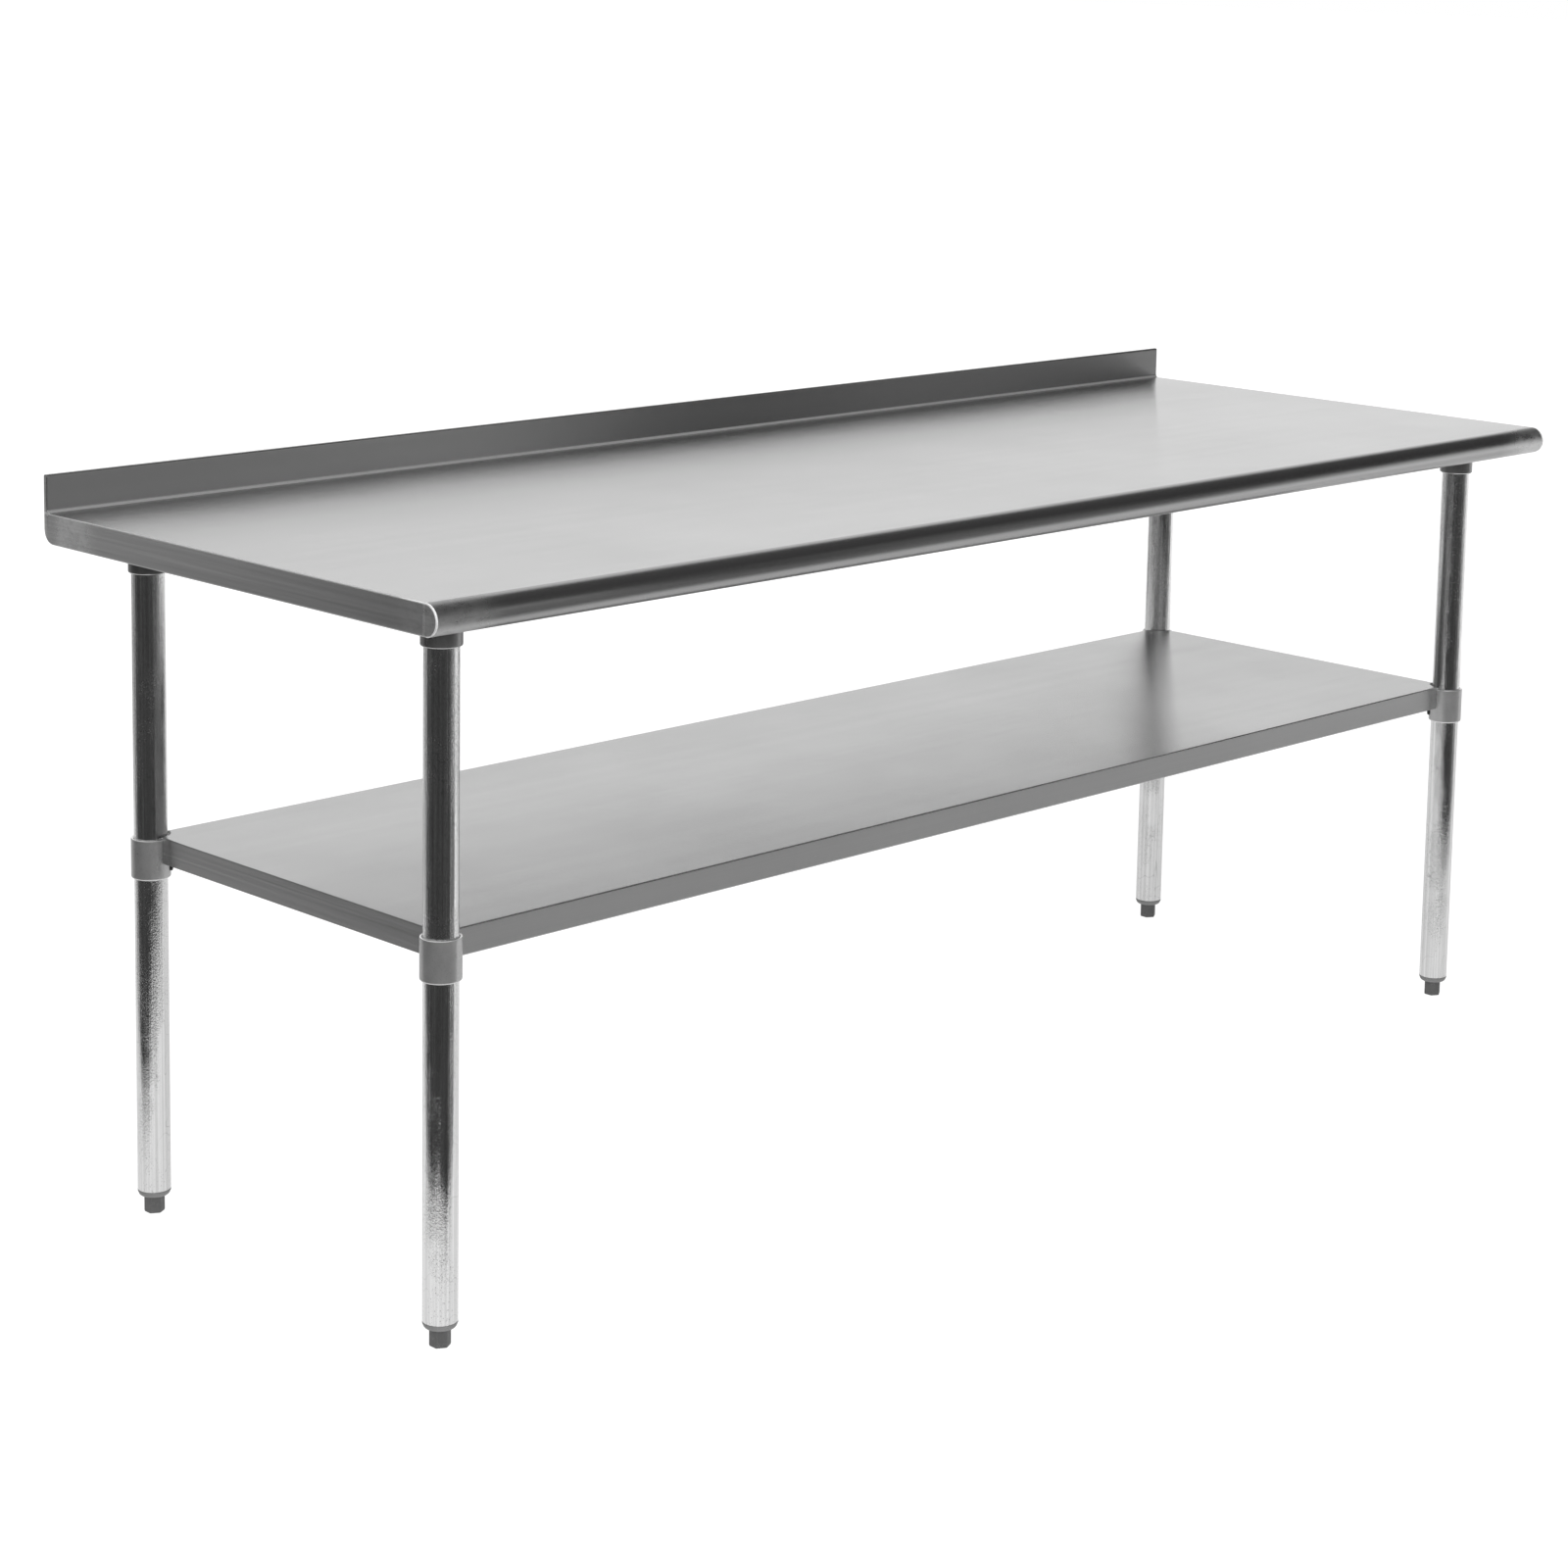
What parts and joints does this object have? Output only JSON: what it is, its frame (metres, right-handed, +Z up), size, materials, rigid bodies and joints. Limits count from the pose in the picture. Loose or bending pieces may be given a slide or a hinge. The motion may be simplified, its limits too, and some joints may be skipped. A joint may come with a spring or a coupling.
{
  "type": "stainless work table",
  "caption": "Long stainless work table with a rolled front edge, low backsplash, undershelf on tubular legs and screw-in levelling feet.",
  "frame": {"origin": "on the floor, under the middle of the table", "axes": "+X along the length, to the right as seen from the front; the rolled front edge faces -Y and the backsplash is at +Y; +Z up"},
  "size_m": [2.134, 0.762, 0.937],
  "materials": {
    "stainless_sheet": "brushed along the length, fairly bright",
    "galvanised_channel": "satin galvanised steel",
    "leg_socket": "satin galvanised steel",
    "leg_tube": "bright galvanised steel with fine draw lines and speckle",
    "shelf_sleeve": "satin cast alloy",
    "set_screw": "black oxide",
    "foot_stud": "zinc plated thread",
    "foot_plastic": "grey moulded plastic"
  },
  "bodies": {
    "table": {"worktop": "stainless_sheet", "cross_channel_left": "galvanised_channel", "cross_channel_right": "galvanised_channel", "long_channel": "galvanised_channel", "leg_socket_front_left": "leg_socket", "socket_set_screw_front_left": "set_screw", "leg_tube_front_left": "leg_tube", "foot_insert_front_left": "foot_plastic", "leg_socket_front_right": "leg_socket", "socket_set_screw_front_right": "set_screw", "leg_tube_front_right": "leg_tube", "foot_insert_front_right": "foot_plastic", "leg_socket_rear_left": "leg_socket", "socket_set_screw_rear_left": "set_screw", "leg_tube_rear_left": "leg_tube", "foot_insert_rear_left": "foot_plastic", "leg_socket_rear_right": "leg_socket", "socket_set_screw_rear_right": "set_screw", "leg_tube_rear_right": "leg_tube", "foot_insert_rear_right": "foot_plastic"},
    "shelf": {"undershelf": "stainless_sheet", "shelf_channel": "galvanised_channel", "shelf_sleeve_front_left": "shelf_sleeve", "sleeve_set_screw_front_left": "set_screw", "shelf_sleeve_front_right": "shelf_sleeve", "sleeve_set_screw_front_right": "set_screw", "shelf_sleeve_rear_left": "shelf_sleeve", "sleeve_set_screw_rear_left": "set_screw", "shelf_sleeve_rear_right": "shelf_sleeve", "sleeve_set_screw_rear_right": "set_screw"},
    "stud_front_left": {"foot_stud_front_left": "foot_stud"},
    "foot_front_left": {"levelling_foot_front_left": "foot_plastic"},
    "stud_front_right": {"foot_stud_front_right": "foot_stud"},
    "foot_front_right": {"levelling_foot_front_right": "foot_plastic"},
    "stud_rear_left": {"foot_stud_rear_left": "foot_stud"},
    "foot_rear_left": {"levelling_foot_rear_left": "foot_plastic"},
    "stud_rear_right": {"foot_stud_rear_right": "foot_stud"},
    "foot_rear_right": {"levelling_foot_rear_right": "foot_plastic"}
  },
  "joints": [
    {"name": "shelf_height", "type": "slide", "parent": "table", "child": "shelf", "axis": [0, 0, 1], "range_m": [-0.3, 0.2]},
    {"name": "foot_drop_front_left", "type": "slide", "parent": "table", "child": "stud_front_left", "axis": [0, 0, -1], "range_m": [0, 0.0254]},
    {"name": "foot_turn_front_left", "type": "hinge", "parent": "stud_front_left", "child": "foot_front_left", "pos_m": [-0.982, -0.2845, 0.011], "axis": [0, 0, -1], "range_deg": [0, 5760]},
    {"name": "foot_drop_front_right", "type": "slide", "parent": "table", "child": "stud_front_right", "axis": [0, 0, -1], "range_m": [0, 0.0254]},
    {"name": "foot_turn_front_right", "type": "hinge", "parent": "stud_front_right", "child": "foot_front_right", "pos_m": [0.982, -0.2845, 0.011], "axis": [0, 0, -1], "range_deg": [0, 5760]},
    {"name": "foot_drop_rear_left", "type": "slide", "parent": "table", "child": "stud_rear_left", "axis": [0, 0, -1], "range_m": [0, 0.0254]},
    {"name": "foot_turn_rear_left", "type": "hinge", "parent": "stud_rear_left", "child": "foot_rear_left", "pos_m": [-0.982, 0.2845, 0.011], "axis": [0, 0, -1], "range_deg": [0, 5760]},
    {"name": "foot_drop_rear_right", "type": "slide", "parent": "table", "child": "stud_rear_right", "axis": [0, 0, -1], "range_m": [0, 0.0254]},
    {"name": "foot_turn_rear_right", "type": "hinge", "parent": "stud_rear_right", "child": "foot_rear_right", "pos_m": [0.982, 0.2845, 0.011], "axis": [0, 0, -1], "range_deg": [0, 5760]}
  ],
  "couplings": [
    {"joint": "foot_turn_front_left", "follows": "foot_drop_front_left", "rad_per_m": 3957.5},
    {"joint": "foot_turn_front_right", "follows": "foot_drop_front_right", "rad_per_m": 3957.5},
    {"joint": "foot_turn_rear_left", "follows": "foot_drop_rear_left", "rad_per_m": 3957.5},
    {"joint": "foot_turn_rear_right", "follows": "foot_drop_rear_right", "rad_per_m": 3957.5}
  ]
}
